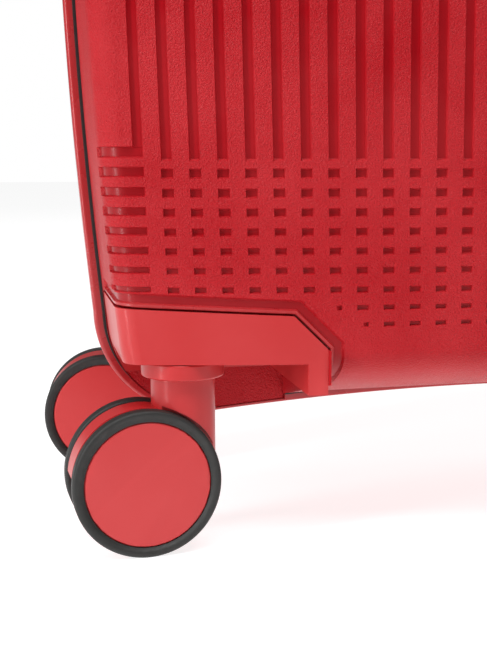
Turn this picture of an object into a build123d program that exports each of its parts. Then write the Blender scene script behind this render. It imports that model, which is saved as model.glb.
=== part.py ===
from build123d import *
import os

# Cabin-size moulded spinner suitcase, millimetres, +Z up, front toward -Y.
# The origin is on the floor, under the middle of the seam between the shells.

os.makedirs("parts", exist_ok=True)

# ---- case envelope -------------------------------------------------------
MID_Z = 292.0            # height of the middle of the case
HALF_W = 191.8           # half width of the rim at mid height
SIDE_R = 1932.0          # radius of the barrel-shaped sides
CORNER_Z = 32.5          # height of the untrimmed lower corners
ARCH_Z = 44.0            # height of the bottom edge at the middle
CORNER_R = 45.0          # outline corner radius
EDGE_R = 8.0             # radius of the long edges between face and sides
LID_INSET = 4.6          # the front shell is this much smaller than the rim all round
REAR_INSET = 4.6         # so is the rear shell behind the rim
RIM_T = 7.5              # thickness of the rim of the rear shell, across the seam
RIM_R = 1.6              # radius of the outer edges of the rim
SHELL_STEP = 5.0         # width of the rim's seat for the seal
WALL = 2.4               # shell wall
HALF_WHEELBASE_F = 56.1  # swivel axis to seam, front casters
HALF_WHEELBASE_R = 58.9  # swivel axis to seam, rear casters
LID_DEPTH = 86.9         # seam to the top of the front dome
LID_EDGE_DEPTH = 64.7    # seam to the dome at the sides
REAR_DEPTH = 89.0        # seam to the top of the rear dome
REAR_EDGE_DEPTH = 74.0   # seam to the rear dome at the sides
UNDER_SLOPE = 0.249      # rise of the underside per mm of depth
UNDER_R = 27.0           # radius between underside and face
SEAL_T = 2.0             # seal thickness across the seam
SEAL_PROUD = 1.8         # the seal stands out of the front shell's side
FIT = 0.05               # running clearance per side

# ---- ribbed face ---------------------------------------------------------
PITCH = 9.61             # pitch of the grooves
COLUMNS = 34             # number of full grooves
GROOVE_W = 3.7           # width of a groove
GROOVE_D = 0.9           # depth of a groove
GROOVE_Z = 145.5         # lower end of the grooves

# ---- casters -------------------------------------------------------------
WHEEL_R = 27.5
HUB_R = 23.5
WHEEL_W = 5.6            # width of one wheel of the twin
PAIR_W = 27.0            # width over both wheels
TRAIL = 16.0             # wheel axle to swivel axis
AXLE_R = 2.5
AXLE_HALF = 11.3         # half length of the axle
COLLAR_R = 15.5
COLLAR_TOP = 71.2
COLLAR_LOW = 65.3
STEM_R = 12.0
SWIVEL_PIN_R = 5.0
WEB_W = 14.4             # width of the fork's fender between the wheels
BAND_W = 11.4            # width of the fender's raised middle band
FENDER_Z = 30.0          # lower end of the fender
BOSS_R = 8.0             # axle boss of the fork
LID_AXIS_X = 151.8       # swivel axes to the middle of the case
REAR_AXIS_X = 156.2
HOUSING_TOP = 93.2
HOUSING_DROP = 4.3       # the housing's top edge falls this much toward the middle
HOUSING_LOW = 60.0
HOUSING_SPAN = 49.4      # swivel axis to the inner side of the housing
HOUSING_DEPTH = 45.2     # swivel axis to the side facing the seam
HOUSING_CHAMFER = 12.2
HOUSING_WALL = 3.0
HOUSING_LEG = 7.2        # width of the legs
LIP_Z = 71.4             # lower edge of the housing front
PROUD = 0.6              # the housings stand out this much
CASTERS = {
    # name: (side, end, swivel angle in degrees of the trailing direction)
    "front_left": (-1, -1, 184.0),
    "front_right": (1, -1, 178.5),
    "rear_left": (-1, 1, 174.5),
    "rear_right": (1, 1, 181.5),
}

# ---- telescopic handle -----------------------------------------------------
POST_X = 62.0            # half distance of the posts
POST_Y = 66.0            # depth of the posts
CHANNEL = (22.0, 13.0)   # outer size of the fixed channels
MIDDLE = (19.5, 10.5)    # outer size of the middle tubes
INNER = (17.2, 8.2)      # outer size of the inner tubes
CHANNEL_WALL = 1.2
TUBE_WALL = 1.05
INNER_WALL = 1.0
CHANNEL_Z = (75.0, 495.5)
MIDDLE_Z = (80.0, 507.5)
INNER_Z = (85.0, 519.5)
BEZEL_HALF = 84.0        # half length of the bezel round the handle
BEZEL_Y = (52.0, 80.0)
BEZEL_FLOOR = 509.5      # floor of the pocket that takes the grip
GRIP_HALF = 76.0         # half length of the grip
GRIP_Y = (56.5, 75.5)
GRIP_Z = (519.5, 537.5)
BUTTON_HALF = 20.0       # half length of the release button
BUTTON_TRAVEL = 3.0      # room under the release button

# ---- lock, handles and hinges ---------------------------------------------
CARRY_HALF = 74.0        # half length of a carry handle's base
CARRY_PIVOT_UP = 5.5     # pivot above the base's zero plane
CARRY_PIN_R = 2.0
TOP_CARRY = (15.5, 536.6)  # pivot line (y) and zero plane (z) of the top handle
SIDE_CARRY_Y = 30.0      # pivot line of the side handle
HINGE_X = 198.4          # hinge line, far enough out for the casters to clear when open
HINGE_Y = -1.0
HINGE_Z = (150.0, 434.0)
HINGE_H = 48.0
LEAF_T = 2.0             # the hinge leaves stand out this much
KNUCKLE_R = 3.6
HINGE_PIN_R = 1.6
FOOT_X = 203.4           # standing face of the side feet
FOOT_Z = (104.0, 480.0)
LOCK_Z = 292.0           # middle of the lock
LOCK_X = 194.6           # outer face of the lock housing
LOCK_SPAN = (233.0, 345.0)
LEVER_X = -196.5         # pivot of the lever
LEVER_Y = -14.0
LEVER_Z = (261.6, 322.0)
LEVER_PIN_R = 0.8
DIAL_R = 7.0
DIAL_X = -LOCK_X - 1.3 + DIAL_R
DIAL_Y = -21.0
DIAL_Z = (239.0, 246.0, 253.0)
DIAL_HALF_T = 2.5        # half thickness of a dial
DIAL_PIN_R = 2.2
BUTTON_Z = 335.0         # lock button


def save(shape, name):
    """Writes one node to its STEP file."""
    shape.label = name
    export_step(shape, "parts/" + name + ".step")


def box(x0, x1, y0, y1, z0, z1):
    size = (x1 - x0, y1 - y0, z1 - z0)
    centre = ((x0 + x1) / 2, (y0 + y1) / 2, (z0 + z1) / 2)
    return Pos(*centre) * Box(*size)


def rod(x, y, z0, z1, r):
    return Pos(x, y, (z0 + z1) / 2) * Cylinder(r, z1 - z0)


def half_width(z):
    return HALF_W - (z - MID_Z) ** 2 / (2 * SIDE_R)


def outline(inset):
    """Face of the case outline in the XZ plane, with rounded corners."""
    low = CORNER_Z + inset
    top = 2 * MID_Z - low
    x = half_width(CORNER_Z) - inset
    arch = ARCH_Z + inset
    side = HALF_W - inset
    edges = [
        ThreePointArc((-x, low), (-side, MID_Z), (-x, top)),
        ThreePointArc((-x, top), (0, 2 * MID_Z - arch), (x, top)),
        ThreePointArc((x, top), (side, MID_Z), (x, low)),
        ThreePointArc((x, low), (0, arch), (-x, low)),
    ]
    face = make_face(edges)
    return fillet(face.vertices(), CORNER_R - inset)


def envelope(end, inset, depth, edge_depth, seam_gap, edge_r=EDGE_R):
    """Solid filled case half. end is -1 for the front and +1 for the rear."""
    flat = extrude(Plane.XZ * outline(inset), -end * (depth + 30))
    reach = HALF_W + 20
    edge = depth - (depth - edge_depth) * (reach / (HALF_W - 12.0)) ** 2
    plan = make_face([
        ThreePointArc((-reach, end * edge), (0, end * depth), (reach, end * edge)),
        Line((reach, end * edge), (reach, end * seam_gap)),
        Line((reach, end * seam_gap), (-reach, end * seam_gap)),
        Line((-reach, end * seam_gap), (-reach, end * edge)),
    ])
    domed = extrude(plan, 700)
    low = ARCH_Z - 5.1 + inset
    run = depth + 0.02
    rise = UNDER_SLOPE * run
    top = 2 * MID_Z - low
    outer = [(end * run, low + rise), (end * run, top - rise)]
    side = Polyline((0, low), outer[0], outer[1], (0, top), (0, low))
    face = make_face(side)
    corners = [v for v in face.vertices() if abs(v.X) > run - 1]
    face = fillet(corners, UNDER_R)
    depth_face = Plane.YZ * face
    lofted = extrude(depth_face, 230, both=True)
    body = flat & domed & lofted
    long_edges = [e for e in body.edges() if e.length > 300]
    front_edges = [e for e in long_edges if abs(e.center().X) > 100 and abs(e.center().Y) > 45]
    return fillet(front_edges, edge_r)


def housing_outline(side, axis_x, grow):
    """Front view of the housing, as a face in the XZ plane."""
    inner = axis_x - HOUSING_SPAN - grow
    outer = HALF_W + 15
    cut = HOUSING_CHAMFER
    top = HOUSING_TOP + grow
    points = [
        (side * outer, 25.0),
        (side * outer, top),
        (side * (inner + cut), top - HOUSING_DROP),
        (side * inner, top - HOUSING_DROP - cut),
        (side * inner, 25.0),
        (side * outer, 25.0),
    ]
    return make_face(Polyline(*points))


def well(side, end, grow):
    """Room taken out of a shell for a caster housing and its wheel."""
    axis_x = LID_AXIS_X if end < 0 else REAR_AXIS_X
    axis_y = HALF_WHEELBASE_F if end < 0 else HALF_WHEELBASE_R
    near = axis_y - HOUSING_DEPTH - grow
    face = Plane.XZ * housing_outline(side, axis_x, grow)
    room = extrude(face, -end * 140)
    keep = box(-300, 300, min(end * near, end * 140), max(end * near, end * 140), 0, 200)
    return room & keep


def dome_y(x, depth, edge_depth):
    return depth - (depth - edge_depth) * (x / (HALF_W - 12.0)) ** 2


def grip_recess(grow):
    """Finger recess in the middle of the lower edge of the front shell."""
    half = 31.0 + grow
    top = 54.5 + grow
    points = [
        (-half, 20),
        (-half, top - 9),
        (-half + 10, top),
        (half - 10, top),
        (half, top - 9),
        (half, 20),
        (-half, 20),
    ]
    face = make_face(Polyline(*points))
    return extrude(Plane.XZ * face, 38.0 + grow)


def front_shell():
    outer = envelope(-1, LID_INSET, LID_DEPTH, LID_EDGE_DEPTH, SEAL_T + FIT)
    inner = envelope(-1, LID_INSET + WALL, LID_DEPTH - WALL, LID_EDGE_DEPTH - WALL, 0, EDGE_R - WALL)
    for side in (-1, 1):
        outer -= well(side, -1, 0)
        inner -= well(side, -1, WALL)
    outer -= grip_recess(0)
    inner -= grip_recess(WALL)
    return outer - inner


def rear_shell():
    inset = REAR_INSET + WALL
    outer = rear_solid()
    inner = envelope(1, inset, REAR_DEPTH - WALL, REAR_EDGE_DEPTH - WALL, -1, EDGE_R - WALL)
    for side in (-1, 1):
        outer -= well(side, 1, 0)
        inner -= well(side, 1, WALL)
    return outer - inner



def groove_cuts():
    """Vertical grooves of the ribbed face."""
    cuts = []
    for k in range(COLUMNS):
        x = (k - (COLUMNS - 1) / 2) * PITCH
        y = dome_y(x, LID_DEPTH, LID_EDGE_DEPTH) - GROOVE_D
        half = GROOVE_W / 2
        cuts.append(box(x - half, x + half, -y - 30, -y, GROOVE_Z, 2 * MID_Z - GROOVE_Z))
    return cuts


def shell_block(end, inset, depth, edge_depth, inset_change):
    """Envelope with flat underside, used by the caster housings."""
    flat = extrude(Plane.XZ * outline(inset), -end * (depth + 30))
    reach = HALF_W + 20
    edge = depth - (depth - edge_depth) * (reach / (HALF_W - 12.0)) ** 2
    plan = make_face([
        ThreePointArc((-reach, end * edge), (0, end * depth), (reach, end * edge)),
        Line((reach, end * edge), (reach, 0)),
        Line((reach, 0), (-reach, 0)),
        Line((-reach, 0), (-reach, end * edge)),
    ])
    body = flat & extrude(plan, 700)
    long_edges = [e for e in body.edges() if e.length > 300]
    front_edges = [e for e in long_edges if abs(e.center().X) > 100 and abs(e.center().Y) > 45]
    return fillet(front_edges, EDGE_R - inset_change)


def lid_solid():
    return envelope(-1, LID_INSET, LID_DEPTH, LID_EDGE_DEPTH, SEAL_T + FIT)


def rear_solid():
    return envelope(1, REAR_INSET, REAR_DEPTH, REAR_EDGE_DEPTH, 0)


def rim():
    """Rounded rim that stands out of the rear shell and carries the seal."""
    disc = extrude(Plane.XZ * outline(0), -RIM_T)
    disc = fillet(disc.edges().group_by(Axis.Y)[0], RIM_R)
    disc = fillet(disc.edges().group_by(Axis.Y)[-1], RIM_R)
    hole = extrude(Plane.XZ * outline(LID_INSET + SHELL_STEP), -RIM_T)
    return disc - hole


def seal():
    """Rubber ring between the rim and the edge of the front shell."""
    ring = outline(LID_INSET - SEAL_PROUD) - outline(LID_INSET + SHELL_STEP - 0.6)
    return extrude(Plane.XZ * ring, SEAL_T)


def lining(end):
    if end < 0:
        inset = LID_INSET + WALL + 0.6
        outer = envelope(-1, inset, LID_DEPTH - WALL - 0.6, LID_EDGE_DEPTH - WALL - 0.6, 4.0)
        inner = envelope(-1, inset + 1, LID_DEPTH - WALL - 1.6, LID_EDGE_DEPTH - WALL - 1.6, 3.0)
        outer -= grip_recess(WALL + 0.6)
        inner -= grip_recess(WALL + 1.6)
    else:
        outer = envelope(1, REAR_INSET + WALL + 0.6, 55.0, 54.9, RIM_T + 0.2)
        inner = envelope(1, REAR_INSET + WALL + 1.6, 54.0, 53.9, RIM_T - 1)
    for side in (-1, 1):
        outer -= well(side, end, WALL + 0.6)
        inner -= well(side, end, WALL + 1.6)
    if end < 0:
        return outer - inner - box(-200, -174, -40, -2, 229, 262)
    return outer - inner - box(-BEZEL_HALF - 2, BEZEL_HALF + 2, 50, 60, CHANNEL_Z[1] - 4, 560)


def caster_axis(side, end):
    if end < 0:
        return side * LID_AXIS_X, -HALF_WHEELBASE_F
    return side * REAR_AXIS_X, HALF_WHEELBASE_R


def caster_housing(side, end):
    """Corner piece with a front lip, two legs and the bearing boss."""
    inset = LID_INSET if end < 0 else REAR_INSET
    depth = LID_DEPTH if end < 0 else REAR_DEPTH
    edge = LID_EDGE_DEPTH if end < 0 else REAR_EDGE_DEPTH
    x, y = caster_axis(side, end)
    block = shell_block(end, inset - PROUD, depth + PROUD, edge + PROUD, -PROUD)
    wall = HOUSING_WALL
    core = shell_block(end, inset + wall, depth - wall, edge - wall, wall)
    body = well(side, end, -FIT) & block
    body &= box(-300, 300, -150, 150, HOUSING_LOW, 120)
    near_x = abs(x) - HOUSING_SPAN + HOUSING_LEG
    near_y = HOUSING_DEPTH - 7.0
    under_x = (min(side * near_x, side * 260), max(side * near_x, side * 260))
    far = y + end * 100
    under_y = (min(y - end * near_y, far), max(y - end * near_y, far))
    body -= box(*under_x, *under_y, 0, LIP_Z)
    hollow = well(side, end, -FIT - wall) & core
    hollow &= box(*under_x, *under_y, LIP_Z - 1, HOUSING_TOP - 4)
    boss = rod(x, y, LIP_Z - 2, HOUSING_TOP, COLLAR_R)
    body -= hollow - boss
    body += rod(x, y, COLLAR_TOP + 0.3, HOUSING_TOP - 5.5, COLLAR_R - 1)
    body -= rod(x, y, COLLAR_TOP, HOUSING_TOP - 7, SWIVEL_PIN_R + FIT)
    return body


def wheel_axis(y0, y1, r):
    """Cylinder round the wheel axle between two distances from the fork centre."""
    middle = Pos(TRAIL, (y0 + y1) / 2, WHEEL_R)
    return middle * Rot(90, 0, 0) * Cylinder(r, y1 - y0)


def placed(shape, side, end, angle):
    x, y = caster_axis(side, end)
    return Pos(x, y, 0) * Rot(0, 0, angle) * shape


def fork():
    """Stem, collar and swivel pin, with a fender that fills the gap between the wheels."""
    stem = rod(0, 0, 36, COLLAR_LOW + 0.5, STEM_R)
    collar = rod(0, 0, COLLAR_LOW, COLLAR_TOP, COLLAR_R)
    collar = fillet(collar.edges().filter_by(GeomType.CIRCLE), 0.8)
    half = WEB_W / 2
    for y0, y1 in ((half, 20), (-20, -half)):
        stem -= wheel_axis(y0, y1, WHEEL_R + 1.0)
    fender = wheel_axis(-half, half, WHEEL_R - 1.5)
    fender += wheel_axis(-BAND_W / 2, BAND_W / 2, WHEEL_R - 0.5)
    fender &= box(-60, 60, -half, half, FENDER_Z, 60)
    body = stem + fender + collar + wheel_axis(-half, half, BOSS_R)
    body += rod(0, 0, COLLAR_TOP - 1, HOUSING_TOP - 8, SWIVEL_PIN_R)
    return body - wheel_axis(-half - 1, half + 1, AXLE_R)


def axle():
    return wheel_axis(-AXLE_HALF, AXLE_HALF, AXLE_R)


def tyre(turn):
    y0 = PAIR_W / 2 - WHEEL_W
    ring = wheel_axis(y0, PAIR_W / 2, WHEEL_R)
    ring = fillet(ring.edges().filter_by(GeomType.CIRCLE), 1.3)
    ring -= wheel_axis(y0 - 1, PAIR_W / 2 + 1, HUB_R)
    return ring if turn > 0 else mirror(ring, Plane.XZ)


def hub(turn):
    y0 = PAIR_W / 2 - WHEEL_W + 0.2
    y1 = PAIR_W / 2 - 0.2
    disc = wheel_axis(y0, y1, HUB_R)
    disc = chamfer(disc.edges().filter_by(GeomType.CIRCLE), 0.7)
    disc -= wheel_axis(y0 - 1, AXLE_HALF + 0.2, AXLE_R + FIT)
    return disc if turn > 0 else mirror(disc, Plane.XZ)


def post(side, size, z, wall):
    cx = side * POST_X
    tube = box(cx - size[0] / 2, cx + size[0] / 2, POST_Y - size[1] / 2, POST_Y + size[1] / 2, *z)
    tube = fillet(tube.edges().filter_by(Axis.Z), 2.0)
    dx = size[0] / 2 - wall
    dy = size[1] / 2 - wall
    bore = box(cx - dx, cx + dx, POST_Y - dy, POST_Y + dy, z[0] - 1, z[1] + 1)
    bore = fillet(bore.edges().filter_by(Axis.Z), 1.2)
    return tube - bore


def bezel():
    skin = envelope(1, REAR_INSET - 1.0, REAR_DEPTH + 1, REAR_EDGE_DEPTH + 1, 0)
    half = BEZEL_HALF - FIT
    body = skin & box(-half, half, BEZEL_Y[0] + FIT, BEZEL_Y[1] - FIT, CHANNEL_Z[1] + FIT, 560)
    body -= box(-GRIP_HALF - 2, GRIP_HALF + 2, GRIP_Y[0] - 1.5, GRIP_Y[1] + 1.5, BEZEL_FLOOR, 560)
    for side in (-1, 1):
        cx = side * POST_X
        dx = MIDDLE[0] / 2 + FIT
        dy = MIDDLE[1] / 2 + FIT
        body -= box(cx - dx, cx + dx, POST_Y - dy, POST_Y + dy, CHANNEL_Z[1] - 10, BEZEL_FLOOR + 6)
    return body


def bezel_cut():
    return box(-BEZEL_HALF, BEZEL_HALF, *BEZEL_Y, CHANNEL_Z[1] - 2, 560)


def grip():
    body = box(-GRIP_HALF, GRIP_HALF, *GRIP_Y, *GRIP_Z)
    body = fillet(body.edges(), 4.0)
    slot = box(-BUTTON_HALF, BUTTON_HALF, POST_Y - 5, POST_Y + 5, GRIP_Z[1] - 7, GRIP_Z[1] + 5)
    return body - fillet(slot.edges().filter_by(Axis.Z), 3.0)


def grip_button():
    half = BUTTON_HALF - FIT
    body = box(-half, half, POST_Y - 5 + FIT, POST_Y + 5 - FIT, GRIP_Z[1] - 4, GRIP_Z[1] + 1.2)
    body = fillet(body.edges().filter_by(Axis.Z), 3.0 - FIT)
    return fillet(body.edges().group_by(Axis.Z)[-1], 0.8)


def handle_base():
    """Base of a carry handle: length along x, pivot at y 0, surface at z 0."""
    half = CARRY_HALF
    plate = box(-half, half, -7, 29, -7, 2)
    plate = fillet(plate.edges().filter_by(Axis.Z), 6.0)
    for side in (-1, 1):
        x = side * (half - 6)
        lug = box(x - 4, x + 4, -4, 4, 0, 9)
        lug = fillet(lug.edges().filter_by(Axis.X).group_by(Axis.Z)[-1], 3.4)
        plate += lug
    bore = Pos(0, 0, CARRY_PIVOT_UP) * Rot(0, 90, 0) * Cylinder(CARRY_PIN_R + FIT, 200)
    return plate - bore


def handle_grip():
    """Folding bar of a carry handle, with its arms and pivot pins."""
    end = CARRY_HALF - 11
    bar = box(-end, end, 14, 25, 2.5, 8.5)
    for side in (-1, 1):
        x = side * (end - 4.5)
        bar += box(x - 4.5, x + 4.5, -3, 20, 2.5, 8.5)
    bar = fillet(bar.edges().filter_by(Axis.X), 2.9)
    for side in (-1, 1):
        pin = Rot(0, 90, 0) * Cylinder(CARRY_PIN_R, 10)
        bar += Pos(side * (end + 4), 0, CARRY_PIVOT_UP) * pin
    return bar


def on_top(shape):
    return Pos(0, *TOP_CARRY) * shape


def on_side(shape):
    """Turn length to Z and outward to -X, on the rear shell."""
    origin = (REAR_INSET - HALF_W, SIDE_CARRY_Y, MID_Z)
    frame = Plane(origin=origin, x_dir=(0, 0, 1), z_dir=(-1, 0, 0))
    return frame * shape


def hinge_leaf(z, rear):
    z0 = z - HINGE_H / 2
    z1 = z + HINGE_H / 2
    third = HINGE_H / 3
    if rear:
        proud = envelope(1, REAR_INSET - LEAF_T, REAR_DEPTH, REAR_EDGE_DEPTH, 0)
        leaf = proud & box(170, 200, RIM_T + 0.1, RIM_T + 20, z0, z1)
        parts = ((z0, z0 + third - 0.15), (z1 - third + 0.15, z1))
        solid = rear_solid() + extrude(Plane.XZ * outline(0), -RIM_T)
        link = (0.4, RIM_T + 6)
    else:
        proud = envelope(-1, LID_INSET - LEAF_T, LID_DEPTH, LID_EDGE_DEPTH, 2.4)
        leaf = proud & box(170, 200, -26, -2.4, z0, z1)
        parts = ((z0 + third + 0.15, z1 - third - 0.15),)
        solid = lid_solid()
        link = (-9, -2.4)
    for a, b in parts:
        leaf += box(170, HINGE_X, *link, a, b)
        leaf += rod(HINGE_X, HINGE_Y, a, b, KNUCKLE_R)
    leaf -= solid
    if rear:
        return leaf + rod(HINGE_X, HINGE_Y, z0, z1, HINGE_PIN_R)
    return leaf - rod(HINGE_X, HINGE_Y, z0 - 1, z1 + 1, HINGE_PIN_R + FIT)


def lock_housing():
    """Housing of the lever and dial lock, on the side of the front shell."""
    body = box(-LOCK_X, 16 - LOCK_X, -38, -4, *LOCK_SPAN)
    body = fillet(body.edges().filter_by(Axis.X), 4.0)
    body -= lid_solid() - box(-200, -179.6, -30, -12, 234, 258)
    body -= box(-LOCK_X - 5, 7 - LOCK_X, -29, -13, BUTTON_Z - 5.5, BUTTON_Z + 5.5)
    for z in (LEVER_Z[0] - 2.3, LEVER_Z[1] + 2.3):
        lug = box(-LOCK_X - 3.8, 2 - LOCK_X, LEVER_Y - 2.5, LEVER_Y + 2.5, z - 1.9, z + 1.9)
        body += fillet(lug.edges().filter_by(Axis.Z).group_by(Axis.X)[0], 2.0)
    body += rod(LEVER_X, LEVER_Y, LEVER_Z[0] - 3.6, LEVER_Z[1] + 3, LEVER_PIN_R)
    for z in DIAL_Z:
        body -= rod(DIAL_X, DIAL_Y, z - DIAL_HALF_T - 0.3, z + DIAL_HALF_T + 0.3, DIAL_R + 0.4)
    body += rod(DIAL_X, DIAL_Y, DIAL_Z[0] - 3.5, DIAL_Z[2] + 3.5, DIAL_PIN_R)
    return body


def dial_window():
    """Opening in the front shell behind the dials."""
    return box(-193, -172, -30.2, -11.8, 233.8, 258.2)


def lock_dial(z):
    ring = rod(DIAL_X, DIAL_Y, z - DIAL_HALF_T, z + DIAL_HALF_T, DIAL_R)
    ring = fillet(ring.edges().filter_by(GeomType.CIRCLE), 0.5)
    return ring - rod(DIAL_X, DIAL_Y, z - 4, z + 4, DIAL_PIN_R + FIT)


def lock_lever():
    """Lever that hooks over the keeper on the rear shell."""
    z0, z1 = LEVER_Z
    plate = box(-LOCK_X - 3.6, -LOCK_X - 0.4, LEVER_Y, 21, z0, z1)
    plate = fillet(plate.edges().filter_by(Axis.X), 2.5)
    plate += rod(LEVER_X, LEVER_Y, z0, z1, 1.7)
    plate += box(-LOCK_X - 1.0, 1.8 - LOCK_X, 19.2, 21, z0 + 12, z1 - 12)
    return plate - rod(LEVER_X, LEVER_Y, z0 - 1, z1 + 1, LEVER_PIN_R + FIT)


def lock_keeper():
    body = box(-LOCK_X, -180, 8, 18.8, LOCK_Z - 22, LOCK_Z + 22)
    return body - rear_solid()


def lock_button():
    half = 5.5 - FIT
    body = box(-LOCK_X - 1.2, 4.4 - LOCK_X, -29 + FIT, -13 - FIT, BUTTON_Z - half, BUTTON_Z + half)
    return fillet(body.edges().group_by(Axis.X)[0], 0.8)


def side_foot(z):
    body = box(170, FOOT_X, 22, 62, z - 9, z + 9)
    body = fillet(body.edges().filter_by(Axis.X), 6.0)
    body -= rear_solid()
    return body


def build():
    lid = front_shell()
    lid = lid.cut(*groove_cuts())
    lid -= dial_window()
    save(lid, "front_shell")
    rear = rear_shell() + rim()
    rear -= bezel_cut()
    save(rear, "rear_shell")
    save(seal(), "rim_seal")
    save(lining(-1), "front_lining")
    save(lining(1), "rear_lining")
    for name, (side, end, angle) in CASTERS.items():
        save(caster_housing(side, end), "caster_housing_" + name)
        save(placed(fork(), side, end, angle), "caster_fork_" + name)
        save(placed(axle(), side, end, angle), "caster_axle_" + name)
        for turn, tag in ((1, "_a"), (-1, "_b")):
            save(placed(tyre(turn), side, end, angle), "tyre_" + name + tag)
            save(placed(hub(turn), side, end, angle), "hub_" + name + tag)
    for side, tag in ((-1, "left"), (1, "right")):
        save(post(side, CHANNEL, CHANNEL_Z, CHANNEL_WALL), "handle_channel_" + tag)
        save(post(side, MIDDLE, MIDDLE_Z, TUBE_WALL), "handle_middle_tube_" + tag)
        save(post(side, INNER, INNER_Z, INNER_WALL), "handle_inner_tube_" + tag)
    save(bezel(), "handle_bezel")
    save(grip(), "handle_grip")
    save(grip_button(), "handle_button")
    save(on_top(handle_base()) - rear_solid(), "top_handle_base")
    save(on_top(handle_grip()), "top_handle_grip")
    save(on_side(handle_base()) - rear_solid(), "side_handle_base")
    save(on_side(handle_grip()), "side_handle_grip")
    for z, tag in zip(HINGE_Z, ("lower", "upper")):
        save(hinge_leaf(z, True), "hinge_rear_leaf_" + tag)
        save(hinge_leaf(z, False), "hinge_front_leaf_" + tag)
    save(lock_housing(), "lock_housing")
    save(lock_lever(), "lock_lever")
    save(lock_keeper(), "lock_keeper")
    save(lock_button(), "lock_button")
    for k, z in enumerate(DIAL_Z):
        save(lock_dial(z), "lock_dial_" + str(k + 1))
    save(side_foot(FOOT_Z[0]), "side_foot_lower")
    save(side_foot(FOOT_Z[1]), "side_foot_upper")


build()
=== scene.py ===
import math

import bmesh
import bpy
import numpy as np
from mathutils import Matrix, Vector, noise


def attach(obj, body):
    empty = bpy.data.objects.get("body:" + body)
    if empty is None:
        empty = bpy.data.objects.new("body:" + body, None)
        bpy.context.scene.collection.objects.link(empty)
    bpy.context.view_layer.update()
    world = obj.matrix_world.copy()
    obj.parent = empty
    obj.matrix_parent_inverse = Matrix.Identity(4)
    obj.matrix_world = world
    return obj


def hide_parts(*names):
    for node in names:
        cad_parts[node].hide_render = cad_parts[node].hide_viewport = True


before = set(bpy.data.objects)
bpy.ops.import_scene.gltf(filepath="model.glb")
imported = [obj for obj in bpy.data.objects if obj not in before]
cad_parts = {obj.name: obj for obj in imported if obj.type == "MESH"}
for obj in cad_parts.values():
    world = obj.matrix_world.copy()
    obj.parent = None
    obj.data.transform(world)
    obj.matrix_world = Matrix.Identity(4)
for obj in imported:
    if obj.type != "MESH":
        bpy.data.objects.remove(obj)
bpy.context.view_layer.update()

MM = 0.001

# ---- case shape, in millimetres, the same sizes as the CAD -------------------
MID_Z = 292.0
HALF_W = 191.8
SIDE_R = 1932.0
CORNER_Z = 32.5
ARCH_Z = 44.0
CORNER_R = 45.0
EDGE_R = 8.0
INSET = 4.6
RIM_T = 7.5
RIM_R = 1.6
SEAT = 9.6
WALL = 2.4
DEPTH = {-1: 86.9, 1: 89.0}
EDGE_DEPTH = {-1: 64.7, 1: 74.0}
UNDER_SLOPE = 0.249
UNDER_BLEND = 45.0
SEAM_GAP = 2.05

PITCH = 9.61
COLUMNS = 34
GROOVE_HALF = 1.85
GROOVE_D = 1.15
GROOVE_Z = 143.7
EXTRA_X = 168.2
EXTRA_HALF = 1.75
EXTRA_Z = 147.5
RECESS_HALF = 2.05
ROW_Z = 139.4
ROW_PITCH = 6.87
RECESS_D = 1.1
SLIT_D = 1.35
SLIT_IN = 166.4
SLIT_REACH = 1.2
SPREAD = 1.0185
LEAN = 7.8e-7
CORNER_FROM = 172.0

AXIS_X = {-1: 151.8, 1: 156.2}
AXIS_Y = {-1: 56.1, 1: 58.9}
HOUSING_TOP = 93.2
HOUSING_DROP = 4.3
HOUSING_FAR = 206.8
HOUSING_SPAN = 49.4
HOUSING_DEPTH = 45.2
HOUSING_CHAMFER = 12.2
WELL_FLOOR_BAND = 4.0
# (distance from the housing, depth below the face) of the moulded surround
SURROUND = (
    (0.0, 3.0), (0.5, 3.0), (0.65, 0.25), (0.95, 0.0),
    (1.85, 0.0), (2.3, 1.25), (5.1, 1.25), (5.8, 0.0),
)

# half width and the two depths of the handle bezel's opening
TROLLEY = (84.0, 52.0, 80.0)
LINING_FLOOR = 53.6
BEZEL_CLEAR = 48.8
LINING_GAP = 1.6
SEAL_PROUD = 2.0

GROOVE_SLOT = 1
RIM_SLOT = 2
# depth and height limits of the opening for the dials
DIAL_WINDOW = (-30.2, -11.8, 233.8, 258.2)


# ---- small helpers -----------------------------------------------------------
def smooth(t):
    """Soft step from 0 to 1."""
    t = np.clip(t, 0.0, 1.0)
    return t * t * (3 - 2 * t)


def make_object(name, verts, faces, materials):
    """New mesh piece with its materials, linked to the scene."""
    mesh = bpy.data.meshes.new(name)
    mesh.from_pydata([tuple(v) for v in verts], [], faces)
    for material in materials:
        mesh.materials.append(material)
    mesh.update()
    piece = bpy.data.objects.new(name, mesh)
    bpy.context.scene.collection.objects.link(piece)
    return piece


def shade_smooth(piece, degrees=40):
    """Smooth shading that keeps edges sharper than the angle."""
    piece.data.shade_smooth()
    piece.data.set_sharp_from_angle(angle=math.radians(degrees))


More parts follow.
